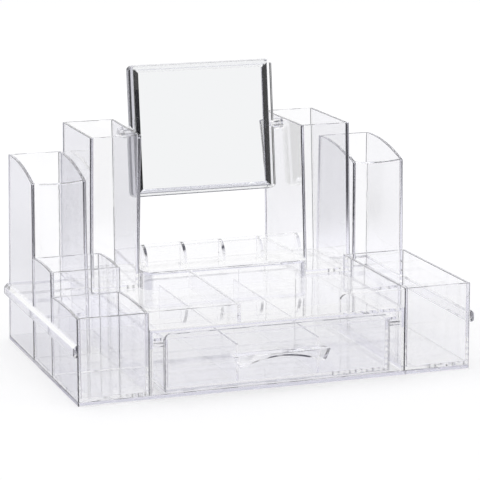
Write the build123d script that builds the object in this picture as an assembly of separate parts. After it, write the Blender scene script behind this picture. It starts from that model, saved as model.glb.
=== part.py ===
"""Clear-plastic makeup organizer with a tilting mirror, four towers, side boxes and a drawer.

Millimetres. +Z is up, +X is to the right of someone facing the drawer, +Y points to the back.
The origin is on the table, under the middle of the whole organizer's outline.
"""
import math
import os

from build123d import *

# Stock, joints and edges shared by the mouldings
wall = 2.4
bond_gap = 0.1
run_gap = 0.3
corner_radius = 1.2
rim_radius = 0.5
overrun = 5.0
min_inner_radius = 0.6

# Case outline
case_width = 300.0
case_depth = 201.0
base_thickness = 3.0
side_box_width = 52.4
tower_depth = 76.8

# Side boxes
front_box_depth = 69.5
front_box_top = 63.2
middle_box_top = 81.0
right_box_top = 65.0
rim_crown = 1.4
box_tower_gap = 0.2

# Outer towers
outer_tower_width = 43.0
outer_tower_lean = 1.2
outer_tower_back_lean = 6.0
outer_tower_front_top = 135.0
outer_tower_back_top = 146.2
outer_tower_crown = 4.6
outer_tower_bow = 2.4
outer_tower_floor = 36.0

# Deck over the drawer bay, with its tray fences
deck_top = 50.8
fence_height = 13.1
left_divider_x = -30.4
right_fence_length = 50.0
fence_end_radius = 4.0

# Inner towers, which carry the mirror
inner_tower_height = 116.9
inner_foot_width = 38.4
inner_top_width = 39.8
inner_rear_width = 45.0
inner_foot_gap = 1.8
inner_top_gap = 3.6
inner_back_lean = 2.0

# Raised shelf between the inner towers, and the lipstick rack on it
shelf_reach = 12.7
shelf_height = 14.0
shelf_corner_radius = 11.0
shelf_rib_x = 8.6
shelf_rib_width = 1.2
shelf_rib_reach = 0.8
rack_side_gap = 2.4
rack_depth = 22.0
rack_floor = 1.5
rack_height = 17.3
rack_slots = 4
fin_run = 11.0

# Belt rail round the sides and back
rail_low = 35.3
rail_height = 9.1
rail_reach = 3.2
rail_top_land = 0.5
rail_lower_bevel = 1.0

# Drawer and its runners
drawer_back_gap = 11.0
drawer_floor_gap = 1.2
drawer_top_gap = 1.8
drawer_front_thickness = 2.5
drawer_corner_radius = 5.0
runner_width = 8.7
runner_drop = 11.4
runner_thickness = 3.0
runner_nose_radius = 1.0
lip_thickness = 2.0
lip_side_gap = 0.6
divider_x = 31.0
divider_thickness = 1.6
divider_drop = 8.3

# Finger pull on the drawer front
pull_length = 73.0
pull_reach = 8.0
pull_drop = 19.2
pull_end_height = 8.4
pull_end_slope = 4.0
pull_end_land = 4.5
pull_bridge = 2.8
pull_bevel = 1.6

# Mirror, its frame and its pivots
mirror_side_gap = 4.5
mirror_height = 101.2
mirror_thickness = 8.0
mirror_tilt = 6.3
mirror_radius = 4.0
frame_edge_radius = 2.0
frame_side = 8.0
frame_rail = 5.8
window_radius = 0.8
window_bevel = 3.6
window_bevel_depth = 2.2
bezel_depth = 3.0
plate_thickness = 2.0
plate_seat = 4.3
pocket_gap = 0.15
pivot_setback = 48.3
pivot_drop = 5.6
pin_radius = 2.0
pin_gap = 0.06
pin_socket = 2.6
head_radius = 3.8
head_thickness = 1.8
boss_radius = 4.5
pivot_side_gap = 0.6

# Planes worked out from the sizes above
front = (pull_reach - case_depth - rail_reach - bond_gap) / 2
back = front + case_depth
half_width = case_width / 2
box_foot = base_thickness + bond_gap
housing_half = half_width - side_box_width - bond_gap
deck_foot = deck_top + bond_gap
deck_underside = deck_top - wall
tower_front = back - tower_depth
box_back = tower_front - outer_tower_bow - box_tower_gap
wing_half = half_width - outer_tower_width - bond_gap
inner_radius = max(corner_radius - wall, min_inner_radius)
inner_tower_top = deck_foot + inner_tower_height
inner_foot_reach = half_width - outer_tower_width - inner_foot_gap - inner_foot_width
inner_top_reach = half_width - outer_tower_width - inner_top_gap - inner_top_width
inner_rear_reach = half_width - outer_tower_width - inner_rear_width
shelf_front = tower_front - shelf_reach
shelf_top = deck_foot + shelf_height
pivot_y = tower_front + pivot_setback
pivot_height = inner_tower_top - pivot_drop
pieces = {}


def block(x0, x1, y0, y1, z0, z1):
    """A plain block between two corners."""
    size = Box(x1 - x0, y1 - y0, z1 - z0)
    return Pos((x0 + x1) / 2, (y0 + y1) / 2, (z0 + z1) / 2) * size


def rounded_block(x0, x1, y0, y1, z0, z1, radius):
    """A block whose upright edges are rounded."""
    outline = Pos((x0 + x1) / 2, (y0 + y1) / 2, z0) * RectangleRounded(x1 - x0, y1 - y0, radius)
    return extrude(outline, z1 - z0, dir=(0, 0, 1))


def soften_rim(solid, radius=rim_radius):
    """Round the edges of a solid's uppermost face."""
    rim = solid.faces().sort_by(Axis.Z)[-1]
    return fillet(rim.edges(), radius)


def open_box(x0, x1, y0, y1, z0, z1):
    """An open-topped box with a floor, four walls and rounded corners."""
    shell = rounded_block(x0, x1, y0, y1, z0, z1, corner_radius)
    hollow = rounded_block(x0 + wall, x1 - wall, y0 + wall, y1 - wall, z0 + wall, z1 + overrun, inner_radius)
    return shell - hollow


def below_arc(x0, x1, y0, z0, y1, z1, rise, foot):
    """A prism along X, under an arc through (y0, z0) and (y1, z1) that bulges up by rise and runs past both."""
    half_chord = math.hypot(y1 - y0, z1 - z0) / 2
    tilt = math.atan2(z1 - z0, y1 - y0)
    radius = (half_chord ** 2 + rise ** 2) / (rise * 2)
    spread = math.asin(half_chord / radius) + overrun / radius
    centre_y = (y0 + y1) / 2 + (radius - rise) * math.sin(tilt)
    centre_z = (z0 + z1) / 2 - (radius - rise) * math.cos(tilt)
    start, top, end = [(centre_y - radius * math.sin(turn), centre_z + radius * math.cos(turn))
                       for turn in (tilt + spread, tilt, tilt - spread)]
    face = make_face([
        Line((start[0], foot), start),
        ThreePointArc(start, top, end),
        Line(end, (end[0], foot)),
        Line((end[0], foot), (start[0], foot)),
    ])
    sketch = Plane(origin=(x0, 0, 0), x_dir=(0, 1, 0), z_dir=(1, 0, 0)) * face
    return extrude(sketch, x1 - x0, dir=(1, 0, 0))


def crowned_box(x0, x1, y0, y1, z1):
    """A side box whose rim rises slightly between its front and back."""
    box = open_box(x0, x1, y0, y1, box_foot, z1 + rim_crown + overrun)
    crown = below_arc(x0 - overrun, x1 + overrun, y0, z1, y1, z1, rim_crown, box_foot - overrun)
    return soften_rim(box & crown)


def tower_outline(x0, x1, rear_x1, y0, y1, z, bow, radius):
    """A tower's outline at height z, as wide as rear_x1 at the back. Its front side bows out by bow."""
    corners = [(x1, y0), (rear_x1, y1), (x0, y1), (x0, y0)]
    sides = [Line(start, end) for start, end in zip(corners, corners[1:])]
    if bow > 0:
        sides.append(ThreePointArc(corners[-1], ((x0 + x1) / 2, y0 - bow), corners[0]))
    else:
        sides.append(Line(corners[-1], corners[0]))
    face = make_face(sides)
    return Pos(0, 0, z) * fillet(face.vertices(), radius)


def between(low, high, share):
    """The outline limits at a share of the way from the low limits to the high ones."""
    return [a + (b - a) * share for a, b in zip(low, high)]


def tower_solid(foot, top, z_foot, z_top, z0, z1, inset, bow, radius):
    """The stretch of a leaning tower from z0 to z1, with its outline drawn in by inset."""
    outlines = []
    for z in (z0, z1):
        x0, x1, rear_x1, y0, y1 = between(foot, top, (z - z_foot) / (z_top - z_foot))
        outlines.append(tower_outline(x0 + inset, x1 - inset, rear_x1 - inset, y0 + inset, y1 - inset,
                                      z, bow, radius))
    return loft(outlines, ruled=True)


def inner_tower_face(y, z):
    """How far an inner tower's mirror-facing wall stands from the middle, at depth y and height z."""
    rise = (z - deck_foot) / (inner_tower_top - deck_foot)
    front_reach = inner_foot_reach + (inner_top_reach - inner_foot_reach) * rise
    run = (y - tower_front) / (tower_depth + inner_back_lean * rise)
    return front_reach + (inner_rear_reach - front_reach) * run


def mirrored(solid):
    """The right-hand twin of a left-hand piece."""
    return mirror(solid, about=Plane.YZ)


# Base plate
base_plate = rounded_block(-half_width, half_width, front, back, 0, base_thickness, corner_radius)
pieces["base_plate"] = soften_rim(base_plate)

# Side boxes
left_x = -half_width
left_inner_x = -half_width + side_box_width
box_split = front + front_box_depth
pieces["left_front_box"] = crowned_box(left_x, left_inner_x, front, box_split, front_box_top)
pieces["left_middle_box"] = crowned_box(left_x, left_inner_x, box_split + bond_gap, box_back, middle_box_top)
right_box = open_box(half_width - side_box_width, half_width, front, box_back, box_foot, right_box_top)
pieces["right_side_box"] = soften_rim(right_box)

# Outer towers: a deep pocket above a raised floor, and a hollow skirt under it
outer_tip = outer_tower_back_top + outer_tower_crown + overrun
outer_inner_x = -half_width + outer_tower_width
outer_foot_limits = (-half_width, outer_inner_x, outer_inner_x, tower_front, back)
outer_top_limits = (-half_width + outer_tower_lean, outer_inner_x, outer_inner_x,
                    tower_front, back - outer_tower_back_lean)


def outer_stretch(z0, z1, inset, radius):
    """A stretch of the left outer tower, drawn in by inset."""
    return tower_solid(outer_foot_limits, outer_top_limits, box_foot, outer_tower_back_top,
                       z0, z1, inset, outer_tower_bow, radius)


outer_tower = outer_stretch(box_foot, outer_tip, 0, corner_radius)
outer_tower -= outer_stretch(outer_tower_floor, outer_tip + overrun, wall, inner_radius)
outer_tower -= outer_stretch(box_foot - overrun, outer_tower_floor - wall, wall, inner_radius)
arc_front = tower_front - outer_tower_bow
outer_tower &= below_arc(-half_width - overrun, 0, arc_front, outer_tower_front_top,
                         back, outer_tower_back_top, outer_tower_crown, 0)
outer_tower = soften_rim(outer_tower)
pieces["left_outer_tower"] = outer_tower
pieces["right_outer_tower"] = mirrored(outer_tower)

# Inner towers: open pockets with a hole for the mirror's pivot pin
inner_foot_limits = (-inner_foot_reach - inner_foot_width, -inner_foot_reach, -inner_rear_reach,
                     tower_front, back)
inner_top_limits = (-inner_top_reach - inner_top_width, -inner_top_reach, -inner_rear_reach,
                    tower_front, back + inner_back_lean)


def inner_stretch(z0, z1, inset, radius):
    """A stretch of the left inner tower, drawn in by inset."""
    return tower_solid(inner_foot_limits, inner_top_limits, deck_foot, inner_tower_top,
                       z0, z1, inset, 0, radius)


pivot_face = inner_tower_face(pivot_y, pivot_height)
pin_hole = Cylinder(pin_radius + pin_gap, wall + overrun * 2, rotation=(0, 90, 0))
inner_tower = inner_stretch(deck_foot, inner_tower_top + overrun, 0, corner_radius)
inner_tower -= inner_stretch(deck_foot + wall, inner_tower_top + overrun * 2, wall, inner_radius)
inner_tower &= block(-case_width, 0, front - case_depth, back + case_depth, deck_foot, inner_tower_top)
inner_tower = soften_rim(inner_tower)
inner_tower -= Pos(-pivot_face - wall / 2, pivot_y, pivot_height) * pin_hole
pieces["left_inner_tower"] = inner_tower
pieces["right_inner_tower"] = mirrored(inner_tower)

# Drawer housing: two side walls, a back wall and the deck, widened under the inner towers
housing = rounded_block(-housing_half, housing_half, front, back, box_foot, deck_top, rim_radius)
housing += block(-wing_half, wing_half, tower_front, back, deck_underside, deck_top)
housing -= block(-housing_half + wall, housing_half - wall, front - overrun, back - wall,
                 box_foot - overrun, deck_underside)
pieces["drawer_housing"] = housing

# Tray fences on the deck
fence_wall_x = housing_half - bond_gap
fence_top = deck_foot + fence_height
left_fence = block(-fence_wall_x, left_divider_x + wall / 2, front, front + wall, deck_foot, fence_top)
left_fence += block(left_divider_x - wall / 2, left_divider_x + wall / 2,
                    front, shelf_front - bond_gap, deck_foot, fence_top)
pieces["left_tray_fence"] = soften_rim(left_fence)
right_fence = block(fence_wall_x - right_fence_length, fence_wall_x, front, front + wall, deck_foot, fence_top)
free_end = right_fence.edges().filter_by(Axis.Y).group_by(Axis.X)[0].sort_by(Axis.Z)[-1]
pieces["right_tray_fence"] = fillet(free_end, fence_end_radius)

# Raised shelf that fits between the inner towers
shelf_front_half = inner_tower_face(shelf_front, shelf_top) - bond_gap
shelf_back_half = inner_tower_face(back, shelf_top) - bond_gap


def shelf_outline(inset, z):
    """The shelf's plan, drawn in by inset: square at the back and rounded at the front corners."""
    front_x = shelf_front_half - inset
    back_x = shelf_back_half - inset
    corners = [(-front_x, shelf_front + inset), (front_x, shelf_front + inset),
               (back_x, back - inset), (-back_x, back - inset)]
    plan = make_face(Polyline(*corners, close=True))
    front_corners = plan.vertices().group_by(Axis.Y)[0]
    return Pos(0, 0, z) * fillet(front_corners, shelf_corner_radius - inset)


shelf = extrude(shelf_outline(0, deck_foot), shelf_top - deck_foot, dir=(0, 0, 1))
shelf = soften_rim(shelf)
shelf -= extrude(shelf_outline(wall, deck_foot - overrun), shelf_height - wall + overrun, dir=(0, 0, 1))
shelf += block(shelf_rib_x - shelf_rib_width / 2, shelf_rib_x + shelf_rib_width / 2,
               shelf_front - shelf_rib_reach, shelf_front + wall / 2, deck_foot, shelf_top - wall)
pieces["rear_shelf"] = shelf

# Lipstick rack: a floor strip, an upright panel and quarter-round fins
rack_foot = shelf_top + bond_gap
rack_top = rack_foot + rack_height
rack_front = shelf_front + rim_radius
rack_back = rack_front + rack_depth
rack_half = inner_tower_face(rack_back, rack_top) - rack_side_gap
rack_deck = rack_foot + rack_floor
fin_rise = rack_top - rack_deck
rack = block(-rack_half, rack_half, rack_front, rack_back, rack_foot, rack_deck)
rack += block(-rack_half, rack_half, rack_back - wall, rack_back, rack_foot, rack_top)
fin_face = make_face([
    Line((rack_back, rack_foot), (rack_back, rack_top)),
    Line((rack_back, rack_top), (rack_back - wall, rack_top)),
    EllipticalCenterArc((rack_back - wall, rack_deck), fin_run, fin_rise, start_angle=90, arc_size=90),
    Line((rack_back - wall - fin_run, rack_deck), (rack_back - wall - fin_run, rack_foot)),
    Line((rack_back - wall - fin_run, rack_foot), (rack_back, rack_foot)),
])
fin_plane = Plane(origin=(0, 0, 0), x_dir=(0, 1, 0), z_dir=(1, 0, 0))
fin = extrude(fin_plane * fin_face, wall, dir=(1, 0, 0))
fin_pitch = (rack_half * 2 - wall) / rack_slots
for index in range(rack_slots + 1):
    rack += Pos(-rack_half + index * fin_pitch, 0, 0) * fin
pieces["lipstick_rack"] = rack

# Belt rail along both sides and the back
rail_inner = half_width + bond_gap
rail_outer = half_width + rail_reach
rail_upper_bevel = rail_reach - bond_gap - rail_top_land
rail_plan = Pos(0, front, rail_low) * Rectangle(rail_outer * 2, case_depth + bond_gap + rail_reach,
                                                align=(Align.CENTER, Align.MIN))
rail_plan = fillet(rail_plan.vertices().group_by(Axis.Y)[-1], corner_radius + rail_reach)
rail = extrude(rail_plan, rail_height, dir=(0, 0, 1))
rail_sides = rail.faces().sort_by(Axis.Z)
upper_edges = [edge for edge in rail_sides[-1].edges() if edge.center().Y > front + rim_radius]
rail = chamfer(upper_edges, rail_upper_bevel)
lower_face = rail.faces().sort_by(Axis.Z)[0]
lower_edges = [edge for edge in lower_face.edges() if edge.center().Y > front + rim_radius]
rail = chamfer(lower_edges, rail_lower_bevel)
rail_hollow = Pos(0, back + bond_gap, rail_low - overrun) * Rectangle(
    rail_inner * 2, case_depth + overrun * 2, align=(Align.CENTER, Align.MAX))
rail -= extrude(rail_hollow, rail_height + overrun * 2, dir=(0, 0, 1))
pieces["belt_rail"] = rail

# Drawer runners on the housing's side walls
runner_outer = housing_half - wall - bond_gap
runner_inner = runner_outer - runner_width
runner_foot = deck_underside - runner_drop
runner_top = runner_foot + runner_thickness
runner = block(-runner_outer, -runner_inner, front + drawer_front_thickness, back - wall - bond_gap,
               runner_foot, runner_top)
nose = runner.edges().filter_by(Axis.X).group_by(Axis.Y)[0]
runner = fillet(nose, runner_nose_radius)
pieces["left_runner"] = runner
pieces["right_runner"] = mirrored(runner)

# Drawer box: it hangs from the lips along its sides
drawer_half = runner_inner - run_gap
drawer_foot = base_thickness + drawer_floor_gap
drawer_front_face = front + drawer_front_thickness + bond_gap
drawer_back = back - drawer_back_gap
lip_foot = runner_top + run_gap
lip_top = lip_foot + lip_thickness
lip_half = housing_half - wall - lip_side_gap
drawer_box = rounded_block(-drawer_half, drawer_half, drawer_front_face, drawer_back,
                           drawer_foot, lip_top, corner_radius)
drawer_box += block(-lip_half, lip_half, drawer_front_face + drawer_corner_radius,
                    drawer_back - drawer_corner_radius, lip_foot, lip_top)
drawer_box -= rounded_block(-drawer_half + wall, drawer_half - wall, drawer_front_face + wall,
                            drawer_back - wall, drawer_foot + wall, lip_top + overrun, inner_radius)
pieces["drawer_box"] = drawer_box

# Drawer front, with rounded corners
drawer_front_top = deck_underside - drawer_top_gap
front_plan = Rectangle(drawer_half * 2, drawer_front_top - drawer_foot)
front_plan = fillet(front_plan.vertices().group_by(Axis.Y)[-1], drawer_corner_radius)
front_plane = Plane(origin=(0, front, (drawer_front_top + drawer_foot) / 2), x_dir=(1, 0, 0), z_dir=(0, -1, 0))
drawer_front = extrude(front_plane * front_plan, drawer_front_thickness, dir=(0, 1, 0))
pieces["drawer_front"] = fillet(drawer_front.faces().sort_by(Axis.Y)[0].edges(), rim_radius)

# Drawer dividers
divider_foot = drawer_foot + wall + bond_gap
divider_top = lip_top - divider_drop
divider = block(-divider_x - divider_thickness / 2, -divider_x + divider_thickness / 2,
                drawer_front_face + wall + bond_gap, drawer_back - wall - bond_gap, divider_foot, divider_top)
divider = soften_rim(divider)
pieces["left_drawer_divider"] = divider
pieces["right_drawer_divider"] = mirrored(divider)

# Finger pull: a ledge whose underside is arched
pull_top = drawer_front_top - pull_drop
pull_low = pull_top - pull_end_height
pull_half = pull_length / 2
pull_foot_half = pull_half - pull_end_slope
arch_half = pull_foot_half - pull_end_land
pull_face = make_face([
    Line((-pull_half, pull_top), (pull_half, pull_top)),
    Line((pull_half, pull_top), (pull_foot_half, pull_low)),
    Line((pull_foot_half, pull_low), (arch_half, pull_low)),
    ThreePointArc((arch_half, pull_low), (0, pull_top - pull_bridge), (-arch_half, pull_low)),
    Line((-arch_half, pull_low), (-pull_foot_half, pull_low)),
    Line((-pull_foot_half, pull_low), (-pull_half, pull_top)),
])
pull_plane = Plane(origin=(0, front - bond_gap, 0), x_dir=(1, 0, 0), z_dir=(0, -1, 0))
pull = extrude(pull_plane * pull_face, pull_reach - bond_gap, dir=(0, -1, 0))
arch_edge = pull.faces().sort_by(Axis.Y)[0].edges().filter_by(GeomType.CIRCLE)
pull = chamfer(arch_edge, pull_bevel)
top_edge = pull.faces().sort_by(Axis.Y)[0].edges().sort_by(Axis.Z)[-1]
pieces["drawer_pull"] = fillet(top_edge, rim_radius)

# Mirror: modelled upright about its pivot, then tipped back
half_thickness = mirror_thickness / 2
mirror_width = (pivot_face - mirror_side_gap) * 2
window_width = mirror_width - frame_side * 2
window_height = mirror_height - frame_rail * 2


def mirror_outline(width, height, y, radius):
    """A rounded outline at depth y, facing the front and centred on the pivot."""
    plane = Plane(origin=(0, y, 0), x_dir=(1, 0, 0), z_dir=(0, -1, 0))
    return plane * RectangleRounded(width, height, radius)


def mirror_slab(width, height, y0, y1, radius):
    """A slab of the mirror from depth y0 to y1."""
    return extrude(mirror_outline(width, height, y0, radius), y1 - y0, dir=(0, 1, 0))


def tipped(solid):
    """The mirror piece at its place, tipped back as it rests."""
    return Pos(0, pivot_y, pivot_height) * Rot(-mirror_tilt, 0, 0) * solid


plate_front = -half_thickness + bezel_depth
plate_back = plate_front + plate_thickness
plate_width = window_width + plate_seat * 2
plate_height = window_height + plate_seat * 2
frame_solid = mirror_slab(mirror_width, mirror_height, -half_thickness, half_thickness, mirror_radius)
frame_solid = fillet(frame_solid.faces().sort_by(Axis.Y)[0].edges(), frame_edge_radius)
frame_solid = fillet(frame_solid.faces().sort_by(Axis.Y)[-1].edges(), corner_radius)
boss_length = mirror_side_gap - pivot_side_gap
for side in (-1, 1):
    boss = Cylinder(boss_radius, boss_length + wall, rotation=(0, 90, 0))
    frame_solid += Pos(side * (mirror_width / 2 + (boss_length - wall) / 2), 0, 0) * boss
frame_solid -= mirror_slab(window_width, window_height, -half_thickness - overrun,
                           half_thickness + overrun, window_radius)
frame_solid -= loft([
    mirror_outline(window_width + window_bevel * 2, window_height + window_bevel * 2,
                   -half_thickness, window_radius),
    mirror_outline(window_width, window_height, window_bevel_depth - half_thickness, window_radius),
], ruled=True)
frame_solid -= mirror_slab(plate_width + pocket_gap * 2, plate_height + pocket_gap * 2,
                           plate_front - bond_gap, half_thickness + overrun, window_radius)
socket_length = pin_socket + boss_length
for side in (-1, 1):
    socket = Cylinder(pin_radius + pin_gap, socket_length + overrun, rotation=(0, 90, 0))
    socket_middle = mirror_width / 2 - pin_socket + (socket_length + overrun) / 2
    frame_solid -= Pos(side * socket_middle, 0, 0) * socket
pieces["mirror_frame"] = tipped(frame_solid)
plate = mirror_slab(plate_width, plate_height, plate_front, plate_back, window_radius)
pieces["mirror_plate"] = tipped(plate)
cover = mirror_slab(plate_width, plate_height, plate_back + bond_gap, half_thickness, window_radius)
pieces["mirror_back_cover"] = tipped(cover)

# Pivot pins: the head is inside the tower, the tip is held in the mirror frame
head_seat = pivot_face + wall + pivot_side_gap
pin_tip = mirror_width / 2 - pin_socket + bond_gap
pin = Pos(-(head_seat + pin_tip) / 2, 0, 0) * Cylinder(pin_radius, head_seat - pin_tip, rotation=(0, 90, 0))
head = Cylinder(head_radius, head_thickness, rotation=(0, 90, 0))
pin += Pos(-head_seat - head_thickness / 2, 0, 0) * head
pieces["left_pivot_pin"] = tipped(pin)
pieces["right_pivot_pin"] = mirrored(tipped(pin))

os.makedirs("parts", exist_ok=True)
for name, piece in pieces.items():
    export_step(piece, f"parts/{name}.step")
    box = piece.bounding_box()
    print(f"{name}: {box.size.X:.1f} x {box.size.Y:.1f} x {box.size.Z:.1f} mm")
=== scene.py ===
# %% [markdown]
# # A clear-plastic makeup organizer
# The organizer is moulded from water-clear plastic: open boxes and towers stand round a deck, a drawer
# slides under it, and a mirror tilts between the two inner towers. Its shape comes ready from the CAD
# frame. This lesson gives it what a solid lacks: plastic that bends light, silvered glass and a studio.

# %% Load the frame
import math

import bpy
import bmesh
from mathutils import Matrix, Vector

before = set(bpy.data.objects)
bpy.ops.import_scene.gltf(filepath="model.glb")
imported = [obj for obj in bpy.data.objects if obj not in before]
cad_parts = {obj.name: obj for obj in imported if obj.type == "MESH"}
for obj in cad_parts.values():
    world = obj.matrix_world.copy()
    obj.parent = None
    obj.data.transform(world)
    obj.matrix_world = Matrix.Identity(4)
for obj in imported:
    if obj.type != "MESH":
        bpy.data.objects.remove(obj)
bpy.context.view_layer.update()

scene = bpy.context.scene
mm = 0.001

# %% [markdown]
# ## Helpers
# Three small functions serve the whole file. One turns a colour as people write it, sRGB hex, into the
# linear values that shaders count with. The next adds a node, sets it and links it in one line, so that
# a shader reads like a recipe. The last clears the node tree that a new material or world starts with.

# %% Colour and node helpers
def linear(hex_colour):
    """The linear RGBA of an sRGB colour such as "#E6E5EA"."""
    channels = [int(hex_colour[i:i + 2], 16) / 255 for i in (1, 3, 5)]
    return [c / 12.92 if c <= 0.04045 else ((c + 0.055) / 1.055) ** 2.4 for c in channels] + [1.0]


def add_node(tree, kind, inputs=None, **settings):
    """Add a node with its settings. An input is linked if it is given a socket, and otherwise set."""
    node = tree.nodes.new(kind)
    for name, value in settings.items():
        setattr(node, name, value)
    for name, value in (inputs or {}).items():
        if isinstance(value, bpy.types.NodeSocket):
            tree.links.new(value, node.inputs[name])
        else:
            node.inputs[name].default_value = value
    return node


def empty_tree(owner):
    """The node tree of a new material or world, with nothing in it."""
    owner.use_nodes = True
    owner.node_tree.nodes.clear()
    return owner.node_tree


white = linear("#FFFFFF")
print("white is", white, "and the middle grey #808080 is", round(linear("#808080")[0], 3))

# %% [markdown]
# ## Camera
# The photograph was taken with a long lens from the front left, looking slightly down. The place and
# the lens were solved from the organizer's own straight edges, so the render falls on the photograph.
# Building the turn from three directions is surer than guessing Euler angles.

# %% Camera
camera_place = Vector((-559.08, -1599.47, 457.34)) * mm
yaw, pitch, roll = (math.radians(angle) for angle in (19.42, 12.29, -0.14))
forward = Vector((math.sin(yaw) * math.cos(pitch), math.cos(yaw) * math.cos(pitch), -math.sin(pitch)))
level_right = Vector((math.cos(yaw), -math.sin(yaw), 0))
level_up = level_right.cross(forward)
right = level_right * math.cos(roll) + level_up * math.sin(roll)
up = level_up * math.cos(roll) - level_right * math.sin(roll)
camera = bpy.data.objects.new("Camera", bpy.data.cameras.new("Camera"))
camera.data.sensor_width = 36.0
camera.data.lens = 173.02
turn = Matrix((right, up, -forward)).transposed()
camera.matrix_world = Matrix.Translation(camera_place) @ turn.to_4x4()
scene.collection.objects.link(camera)
scene.camera = camera
print("camera lens:", round(camera.data.lens, 2), "mm, distance:", round(camera_place.length, 2), "m")

# %% [markdown]
# ## View and bounces
# Light crosses many walls before it leaves a clear organizer, and along a rim it is mirrored inside the
# wall dozens of times. A ray that reaches the bounce limit ends in black, so with the usual dozen of
# bounces the rims would turn into heavy dark bars. A high limit lets the light find its way out.

# %% View and bounces
wall_bounces = 120
shadow_crossings = 64
scene.view_settings.view_transform = "Standard"
scene.cycles.max_bounces = wall_bounces
scene.cycles.transmission_bounces = wall_bounces
scene.cycles.glossy_bounces = wall_bounces
scene.cycles.transparent_max_bounces = shadow_crossings
scene.cycles.volume_bounces = 0
print("bounces:", wall_bounces, "and surfaces that a shadow ray may cross:", shadow_crossings)

# %% [markdown]
# ## Studio
# Clear plastic has hardly any colour of its own: what is seen is the studio, bent and mirrored. A
# studio could be built from bright panels and black cards. Here the room answers by the way a ray came,
# which keeps the white background clean. Light Path tells the way: Glossy Depth counts how often a ray
# was mirrored.
#
# Rays that went straight through find white paper. Rays mirrored once find a greyer room, and so each
# wall gets its faint fill. Rays mirrored again and again inside a wall find bright panels with dark
# gaps between them, and so the rims and corners draw themselves as light and dark lines.

# %% Shades by the way of a ray
def depth_shade(tree, path, straight, once, inside, deep):
    """A shade by how a ray was mirrored: never, once on a surface, once inside a wall, or more often."""
    depth = path.outputs["Glossy Depth"]
    mirrored = add_node(tree, "ShaderNodeMath", {0: depth, 1: 1.0}, operation="MINIMUM")
    again = add_node(tree, "ShaderNodeMath", {0: depth, 1: 1.0}, operation="SUBTRACT", use_clamp=True)
    left_a_wall = path.outputs["Is Transmission Ray"]
    single = add_node(tree, "ShaderNodeMix", {"Factor": left_a_wall, "A": once, "B": inside})
    any_depth = add_node(tree, "ShaderNodeMix", {"Factor": again.outputs[0], "A": single.outputs[0],
                                                 "B": deep})
    shade = add_node(tree, "ShaderNodeMix", {"Factor": mirrored.outputs[0], "A": straight,
                                             "B": any_depth.outputs[0]})
    return shade.outputs[0]


def sight_rays(tree, path):
    """One for rays that show something to the camera, zero for rays that carry light to a matt surface."""
    direct = path.outputs["Is Camera Ray"]
    glossy = path.outputs["Is Glossy Ray"]
    passing = path.outputs["Is Transmission Ray"]
    sight = add_node(tree, "ShaderNodeMath", {0: direct, 1: glossy}, operation="MAXIMUM")
    sight = add_node(tree, "ShaderNodeMath", {0: sight.outputs[0], 1: passing}, operation="MAXIMUM")
    return sight.outputs[0]


print("ray helpers:", depth_shade.__name__, "and", sight_rays.__name__)

# %% [markdown]
# ## Panels
# A sine of the angle round the organizer rises and falls five times on its way round. Where it is high
# a panel stands, and where it is low there is a gap. The panels stand all round, so that every side has
# its lines.

# %% Panels
panels = 5
panel_turn = math.radians(5)


def panel_pattern(tree, vector, low, high):
    """One where a panel stands in the vector's direction, zero in a gap. A sine below low is all gap, and
    one above high is all panel."""
    parts = add_node(tree, "ShaderNodeSeparateXYZ", {0: vector})
    across, ahead = parts.outputs["X"], parts.outputs["Y"]
    around = add_node(tree, "ShaderNodeMath", {0: across, 1: ahead}, operation="ARCTAN2")
    phase = add_node(tree, "ShaderNodeMath", {0: around.outputs[0], 1: panels, 2: panel_turn},
                     operation="MULTIPLY_ADD")
    wave = add_node(tree, "ShaderNodeMath", {0: phase.outputs[0]}, operation="SINE")
    panel = add_node(tree, "ShaderNodeMapRange", {"Value": wave.outputs[0], "From Min": low,
                                                  "From Max": high}, interpolation_type="SMOOTHSTEP")
    return panel.outputs[0]


print("panels:", panels, "in all, one every", 360 / panels, "degrees")

# %% [markdown]
# ## Room
# The world is the room: panels and gaps as its walls, and a ceiling above them. Only sight rays meet
# them. A matt surface gets a plain even light instead, so that a colour renders about as it is written.

# %% Room
ambient = 0.5
ceiling_start = 0.1
ceiling_full = 0.2
world = bpy.data.worlds.new("Studio")
scene.world = world
tree = empty_tree(world)
direction = add_node(tree, "ShaderNodeTexCoord").outputs["Generated"]
path = add_node(tree, "ShaderNodeLightPath")
gap = depth_shade(tree, path, straight=1.0, once=0.08, inside=0.08, deep=0.06)
panel = panel_pattern(tree, direction, low=-0.6, high=0.5)
walls = add_node(tree, "ShaderNodeMix", {"Factor": panel, "A": gap, "B": 1.0})
height = add_node(tree, "ShaderNodeSeparateXYZ", {0: direction}).outputs["Z"]
ceiling = depth_shade(tree, path, straight=0.6, once=1.0, inside=1.0, deep=1.0)
over = add_node(tree, "ShaderNodeMapRange", {"Value": height, "From Min": ceiling_start,
                                             "From Max": ceiling_full}, interpolation_type="SMOOTHSTEP")
room = add_node(tree, "ShaderNodeMix", {"Factor": over.outputs[0], "A": walls.outputs[0], "B": ceiling})
seen = sight_rays(tree, path)
strength = add_node(tree, "ShaderNodeMix", {"Factor": seen, "A": ambient, "B": room.outputs[0]})
background = add_node(tree, "ShaderNodeBackground", {"Color": white, "Strength": strength.outputs[0]})
add_node(tree, "ShaderNodeOutputWorld", {"Surface": background.outputs[0]})
print("room:", len(tree.nodes), "nodes, ambient light", ambient)

# %% [markdown]
# ## Paper sweep
# The organizer stands on white paper: one wide flat square, a hair below its base so that the two faces
# don't fight.

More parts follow.
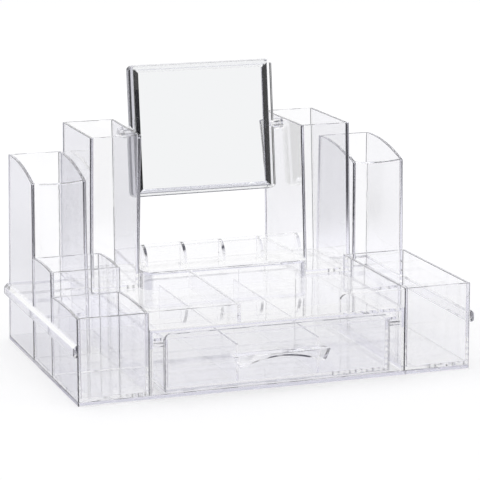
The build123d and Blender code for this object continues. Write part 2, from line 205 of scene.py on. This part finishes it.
# %% Sweep
sweep_half = 8.0
sweep_drop = 0.2 * mm
mesh = bpy.data.meshes.new("Sweep")
bm = bmesh.new()
bmesh.ops.create_grid(bm, x_segments=1, y_segments=1, size=sweep_half,
                      matrix=Matrix.Translation((0, 0, -sweep_drop)))
bm.to_mesh(mesh)
bm.free()
sweep = bpy.data.objects.new("Sweep", mesh)
scene.collection.objects.link(sweep)
print("sweep:", 2 * sweep_half, "m wide,", len(mesh.polygons), "face")

# %% [markdown]
# ## Paper
# The paper is matt, so it takes the organizer's shadow. A glow that only sight rays see lifts it to
# white. When it is mirrored, the floor round the organizer is plain, and farther off it carries the
# panels' pattern. The mirrored glow is also a little violet, which gives the clear walls their cool
# grey.

# %% Mirrored floor
near_full, near_end = 0.3, 0.5
paper = bpy.data.materials.new("White paper sweep")
tree = empty_tree(paper)
spot = add_node(tree, "ShaderNodeTexCoord").outputs["Object"]
reach = add_node(tree, "ShaderNodeVectorMath", {0: spot}, operation="LENGTH").outputs["Value"]
path = add_node(tree, "ShaderNodeLightPath")
gap = depth_shade(tree, path, straight=1.0, once=0.7, inside=0.65, deep=0.05)
lit = depth_shade(tree, path, straight=1.0, once=0.45, inside=0.3, deep=1.0)
panel = panel_pattern(tree, spot, low=-0.7, high=0.2)
far = add_node(tree, "ShaderNodeMix", {"Factor": panel, "A": gap, "B": lit}).outputs[0]
plain = depth_shade(tree, path, straight=1.0, once=0.6, inside=0.95, deep=1.0)
near = add_node(tree, "ShaderNodeMapRange", {"Value": reach, "From Min": near_full, "From Max": near_end,
                                             "To Min": 1.0, "To Max": 0.0}, interpolation_type="SMOOTHSTEP")
room = add_node(tree, "ShaderNodeMix", {"Factor": near.outputs[0], "A": far, "B": plain}).outputs[0]
print("mirrored floor: plain to", near_full, "m, panels from", near_end, "m")

# %% White paper
glow_near, glow_far = 0.25, 1.2
glow_least, glow_most = 0.6, 0.72
lift = add_node(tree, "ShaderNodeMapRange", {"Value": reach, "From Min": glow_near, "From Max": glow_far,
                                             "To Min": glow_least, "To Max": glow_most})
seen = sight_rays(tree, path)
lift = add_node(tree, "ShaderNodeMath", {0: lift.outputs[0], 1: seen}, operation="MULTIPLY")
lift = add_node(tree, "ShaderNodeMath", {0: lift.outputs[0], 1: room}, operation="MULTIPLY")
tone = add_node(tree, "ShaderNodeMix", {"Factor": room, "A": linear("#000000"), "B": linear("#C0C0C2")},
                data_type="RGBA")
mirrored = add_node(tree, "ShaderNodeMath", {0: path.outputs["Glossy Depth"], 1: 1.0}, operation="MINIMUM")
cast = add_node(tree, "ShaderNodeMix", {"Factor": mirrored.outputs[0], "A": white, "B": linear("#EBEAFA")},
                data_type="RGBA")
matt = add_node(tree, "ShaderNodeBsdfDiffuse", {"Color": tone.outputs[2]})
glow = add_node(tree, "ShaderNodeEmission", {"Color": cast.outputs[2], "Strength": lift.outputs[0]})
both = add_node(tree, "ShaderNodeAddShader", {0: matt.outputs[0], 1: glow.outputs[0]})
add_node(tree, "ShaderNodeOutputMaterial", {"Surface": both.outputs[0]})
sweep.data.materials.append(paper)
print("paper:", paper.name, "with", len(tree.nodes), "nodes")

# %% [markdown]
# ## Lamps
# One large soft box hangs above, a little behind the organizer and to its left, and a weaker one fills
# from the front right. Large lamps give soft shadows, as the photograph has them.

# %% Lamps
def soft_box(name, place, target, size, power):
    """A square area lamp that points at a target."""
    lamp = bpy.data.lights.new(name, "AREA")
    lamp.shape = "SQUARE"
    lamp.size = size
    lamp.energy = power
    holder = bpy.data.objects.new(name, lamp)
    aim = Vector(target) - Vector(place)
    holder.matrix_world = Matrix.Translation(place) @ aim.to_track_quat("-Z", "Y").to_matrix().to_4x4()
    scene.collection.objects.link(holder)
    print("lamp:", name, power, "W")


middle = (0, 0, 0.08)
soft_box("Top_box", place=(-0.2, 0.3, 1.5), target=middle, size=1.2, power=8.0)
soft_box("Right_fill", place=(1.4, -0.9, 1.1), target=middle, size=0.9, power=2.0)

# %% [markdown]
# ## Painted dark reflections on the roundings
# An upright rounding of a clear piece bends the dark far end of a room into view, and shows it as a
# dark line. Black cards could be hung for it, but they would grey the whole organizer. So that dark
# reflection is painted into the plastic's colour there, as a dark tone.
#
# The Normal output tells where a surface turns from one side to the next: there neither of two
# directions comes near 1. Upright corners turn from X to Y, and rims that run across the front turn
# from Y to Z.

# %% Where a surface turns
side_reached = 0.96
side_left = 0.86
nearly_square = 0.25


def rounding(tree, one, other, third):
    """One where a surface turns from one direction to the other and is nearly square to the third."""
    larger = add_node(tree, "ShaderNodeMath", {0: one, 1: other}, operation="MAXIMUM")
    turned = add_node(tree, "ShaderNodeMapRange", {"Value": larger.outputs[0], "From Min": side_left,
                                                   "From Max": side_reached, "To Min": 1.0, "To Max": 0.0})
    square = add_node(tree, "ShaderNodeMath", {0: third, 1: nearly_square}, operation="LESS_THAN")
    both = add_node(tree, "ShaderNodeMath", {0: turned.outputs[0], 1: square.outputs[0]},
                    operation="MULTIPLY")
    return both.outputs[0]


print("a rounding starts", round(math.degrees(math.acos(side_reached))), "degrees off a side")

# %% [markdown]
# Rims catch the dark only here and there, so noise breaks their painted dark reflection into dashes
# of about a finger's width.

# %% Painted reflection tone of the roundings
dash_length = 14 * mm
dash_start, dash_full = 0.46, 0.54


def painted_rounding_reflections(tree, coordinates, painted_corner_reflection, painted_rim_reflection):
    """White with painted dark reflections: one tone on upright roundings, dashes of another on front rims.
    """
    side = add_node(tree, "ShaderNodeVectorMath", {0: coordinates.outputs["Normal"]}, operation="ABSOLUTE")
    side = add_node(tree, "ShaderNodeSeparateXYZ", {0: side.outputs[0]})
    x, y, z = (side.outputs[axis] for axis in "XYZ")
    corner = rounding(tree, x, y, z)
    # painted reflection: a dark colour on the upright roundings
    tone = add_node(tree, "ShaderNodeMix", {"Factor": corner, "A": white, "B": linear(painted_corner_reflection)},
                    data_type="RGBA")
    dashes = add_node(tree, "ShaderNodeTexNoise", {"Vector": coordinates.outputs["Object"],
                                                   "Scale": 1 / dash_length, "Detail": 1.0})
    dashes = add_node(tree, "ShaderNodeMapRange", {"Value": dashes.outputs["Fac"], "From Min": dash_start,
                                                   "From Max": dash_full})
    # painted reflection: dark dashes on the rims across the front
    rim = rounding(tree, y, z, x)
    rim = add_node(tree, "ShaderNodeMath", {0: rim, 1: dashes.outputs[0]}, operation="MULTIPLY")
    tone = add_node(tree, "ShaderNodeMix", {"Factor": rim.outputs[0], "A": tone.outputs[2],
                                            "B": linear(painted_rim_reflection)}, data_type="RGBA")
    return tone.outputs[2]


print("dashes:", round(dash_length / mm), "mm")

# %% [markdown]
# ## Clear plastic
# The organizer is general-purpose polystyrene, moulded against polished steel. It bends light a little
# more than glass, with an index near 1.59, which gives the eye bright rims and faint mirror images. The
# melt leaves a slow waviness in the walls, and a trace of grey that only shows where light travels far
# inside them. Light from the lamps has to reach what is inside, so shadow rays meet a light grey
# transparent shader instead.

# %% Clear polystyrene
plastic_index = 1.59
wave_length = 26 * mm
wave_height = 0.004 * mm
haze_patch = 9 * mm
haze_most = 0.012
haze_low, haze_high = 0.3, 0.7
grey_density = 2.2


def clear_plastic(name, painted_corner_reflection, painted_rim_reflection):
    """Clear plastic with painted reflection tones on its upright roundings and its front rims."""
    material = bpy.data.materials.new(name)
    tree = empty_tree(material)
    coordinates = add_node(tree, "ShaderNodeTexCoord")
    place = coordinates.outputs["Object"]
    waves = add_node(tree, "ShaderNodeTexNoise", {"Vector": place, "Scale": 1 / wave_length, "Detail": 1.0})
    bump = add_node(tree, "ShaderNodeBump", {"Height": waves.outputs["Fac"], "Strength": 1.0,
                                             "Distance": wave_height})
    haze = add_node(tree, "ShaderNodeTexNoise", {"Vector": place, "Scale": 1 / haze_patch, "Detail": 2.0})
    gloss = add_node(tree, "ShaderNodeMapRange", {
        "Value": haze.outputs["Fac"], "From Min": haze_low, "From Max": haze_high,
        "To Min": 0.0, "To Max": haze_most})
    # the base colour carries painted dark reflections on the roundings and rims
    tone = painted_rounding_reflections(tree, coordinates, painted_corner_reflection, painted_rim_reflection)
    body = add_node(tree, "ShaderNodeBsdfPrincipled", {
        "Base Color": tone, "Roughness": gloss.outputs["Result"], "IOR": plastic_index,
        "Transmission Weight": 1.0, "Normal": bump.outputs["Normal"]})
    passing = add_node(tree, "ShaderNodeBsdfTransparent", {"Color": linear("#C6C6CC")})
    shadow = add_node(tree, "ShaderNodeLightPath").outputs["Is Shadow Ray"]
    either = add_node(tree, "ShaderNodeMixShader", {0: shadow, 1: body.outputs[0], 2: passing.outputs[0]})
    tint = add_node(tree, "ShaderNodeVolumeAbsorption", {"Color": linear("#CFCED3"),
                                                         "Density": grey_density})
    add_node(tree, "ShaderNodeOutputMaterial", {"Surface": either.outputs[0], "Volume": tint.outputs[0]})
    print("plastic:", name, "with", len(tree.nodes), "nodes")
    return material


print("plastic: index", plastic_index, "and waves of", round(wave_length / mm), "mm")

# %% [markdown]
# Three versions are made. Most pieces share the first. The shelf and the rack have corners so wide that
# a dark painted reflection would show as a patch, so theirs is pale. The mirror frame has the darkest
# painted corner reflections and no dashes.

# %% Three plastics
# corner and rim colours are painted reflections: dark lines standing in for a dark room seen in the plastic
plastic = clear_plastic("Clear polystyrene, polished mould", painted_corner_reflection="#141418", painted_rim_reflection="#26262E")
wide_plastic = clear_plastic("Clear polystyrene, wide corners", painted_corner_reflection="#DCDCE2", painted_rim_reflection="#26262E")
frame_plastic = clear_plastic("Clear polystyrene, mirror frame", painted_corner_reflection="#0A0A0C", painted_rim_reflection="#FFFFFF")

# %% [markdown]
# ## Mirror glass
# The mirror is float glass, silvered and then painted grey on its back. A metal shader with almost no
# roughness stands for the silver, and a faint film left by a wiping cloth keeps it from being perfect.
# The CAD plate is one solid, so a plane just behind its front face parts silver from paint. The plane
# leans back as the plate does, by 6.3 degrees.

# %% Silver film
wipe_patch = 18 * mm
wipe_low, wipe_high = 0.35, 0.75
film_least, film_most = 0.005, 0.03
silver = bpy.data.materials.new("Silvered float glass")
tree = empty_tree(silver)
place = add_node(tree, "ShaderNodeTexCoord").outputs["Object"]
wipes = add_node(tree, "ShaderNodeTexNoise", {"Vector": place, "Scale": 1 / wipe_patch, "Detail": 4.0})
film = add_node(tree, "ShaderNodeMapRange", {
    "Value": wipes.outputs["Fac"], "From Min": wipe_low, "From Max": wipe_high,
    "To Min": film_least, "To Max": film_most})
coat = add_node(tree, "ShaderNodeBsdfPrincipled", {"Base Color": linear("#F3F4F5"), "Metallic": 1.0,
                                                   "Roughness": film.outputs["Result"]})
print("silver:", silver.name, "roughness", film_least, "to", film_most)

# %% Silver in front, paint behind
tilt = math.radians(6.3)
facing = (0, -math.cos(tilt), math.sin(tilt))
coat_depth = -55.3 * mm
paint = add_node(tree, "ShaderNodeBsdfPrincipled", {"Base Color": linear("#3A3B40"), "Roughness": 0.5})
along = add_node(tree, "ShaderNodeVectorMath", {0: place, 1: facing}, operation="DOT_PRODUCT")
on_front = add_node(tree, "ShaderNodeMath", {0: along.outputs["Value"], 1: coat_depth},
                    operation="GREATER_THAN")
body = add_node(tree, "ShaderNodeMixShader", {0: on_front.outputs[0], 1: paint.outputs[0],
                                              2: coat.outputs[0]})
add_node(tree, "ShaderNodeOutputMaterial", {"Surface": body.outputs[0]})
depths = [Vector(facing).dot(corner.co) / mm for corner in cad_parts["mirror_plate"].data.vertices]
print("glass from", round(min(depths), 2), "to", round(max(depths), 2), "mm, silver from", coat_depth / mm)

# %% [markdown]
# ## Grey back sheet
# A plain polystyrene sheet closes the mirror's back. Extruded sheet has a fine grain that takes the
# shine off, so it looks satin. The grain is drawn at 0.8 mm, several times as coarse as a real one,
# because a finer one wouldn't show from this far.

# %% Grey back sheet
grain_size = 0.8 * mm
grain_height = 0.02 * mm
sheet = bpy.data.materials.new("Grey polystyrene sheet, fine grain")
tree = empty_tree(sheet)
place = add_node(tree, "ShaderNodeTexCoord").outputs["Object"]
grain = add_node(tree, "ShaderNodeTexNoise", {"Vector": place, "Scale": 1 / grain_size, "Detail": 2.0})
bump = add_node(tree, "ShaderNodeBump", {"Height": grain.outputs["Fac"], "Distance": grain_height})
tone = add_node(tree, "ShaderNodeMix", {"Factor": grain.outputs["Fac"], "A": linear("#DADBDF"),
                                        "B": linear("#E2E3E6")}, data_type="RGBA")
body = add_node(tree, "ShaderNodeBsdfPrincipled", {"Base Color": tone.outputs[2], "Roughness": 0.35,
                                                   "Normal": bump.outputs["Normal"]})
add_node(tree, "ShaderNodeOutputMaterial", {"Surface": body.outputs[0]})
print("sheet:", sheet.name, "of", round(grain_size / mm, 1), "mm")

# %% [markdown]
# ## Dress the nodes
# Every piece of the organizer is a node of the frame and keeps its CAD shape. It only gets a material.
# Plain clear plastic is the rule, and a short table names the pieces that differ.

# %% Dress the nodes
finishes = {"mirror_plate": silver, "mirror_back_cover": sheet, "rear_shelf": wide_plastic,
            "lipstick_rack": wide_plastic, "mirror_frame": frame_plastic}
for name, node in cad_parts.items():
    node.data.materials[0] = finishes.get(name, plastic)
print("nodes dressed:", len(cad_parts), "of which not in plain plastic:", sorted(finishes))
